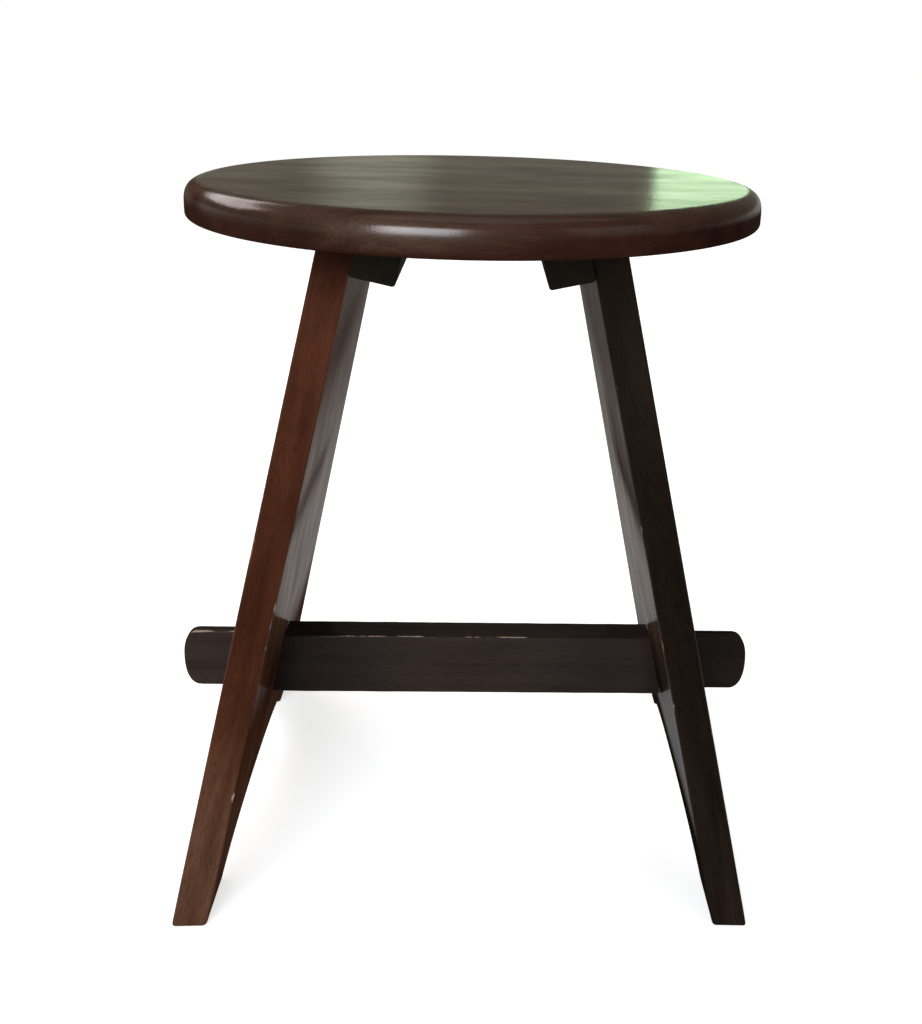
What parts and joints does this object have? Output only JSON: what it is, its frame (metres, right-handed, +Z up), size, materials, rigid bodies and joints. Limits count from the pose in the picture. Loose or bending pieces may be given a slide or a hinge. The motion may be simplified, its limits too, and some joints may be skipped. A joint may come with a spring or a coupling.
{
  "type": "splay-leg stool",
  "caption": "Low stool with a round seat on leaning plank legs with arched feet, joined by a rail with through tenons.",
  "frame": {"origin": "on the floor under the middle of the seat", "axes": "+Z up, +X along the rail towards the right leg, +Y across the legs towards the back"},
  "size_m": [0.401, 0.348, 0.4455],
  "materials": {
    "seat_wood": "glossy varnish over dark red-brown wood",
    "rail_wood": "glossy varnish over very dark brown wood",
    "leg_wood": "glossy varnish over dark red-brown wood, worn on the arrises",
    "cleat_wood": "satin varnish over very dark brown wood",
    "screw_steel": "dull aged steel"
  },
  "bodies": {
    "root": {"seat": "seat_wood", "stretcher_rail": "rail_wood", "left_leg": "leg_wood", "right_leg": "leg_wood", "left_cleat": "cleat_wood", "right_cleat": "cleat_wood", "left_seat_screw_1": "screw_steel", "left_seat_screw_2": "screw_steel", "left_seat_screw_3": "screw_steel", "left_leg_screw_1": "screw_steel", "left_leg_screw_2": "screw_steel", "right_seat_screw_1": "screw_steel", "right_seat_screw_2": "screw_steel", "right_seat_screw_3": "screw_steel", "right_leg_screw_1": "screw_steel", "right_leg_screw_2": "screw_steel"}
  },
  "joints": []
}
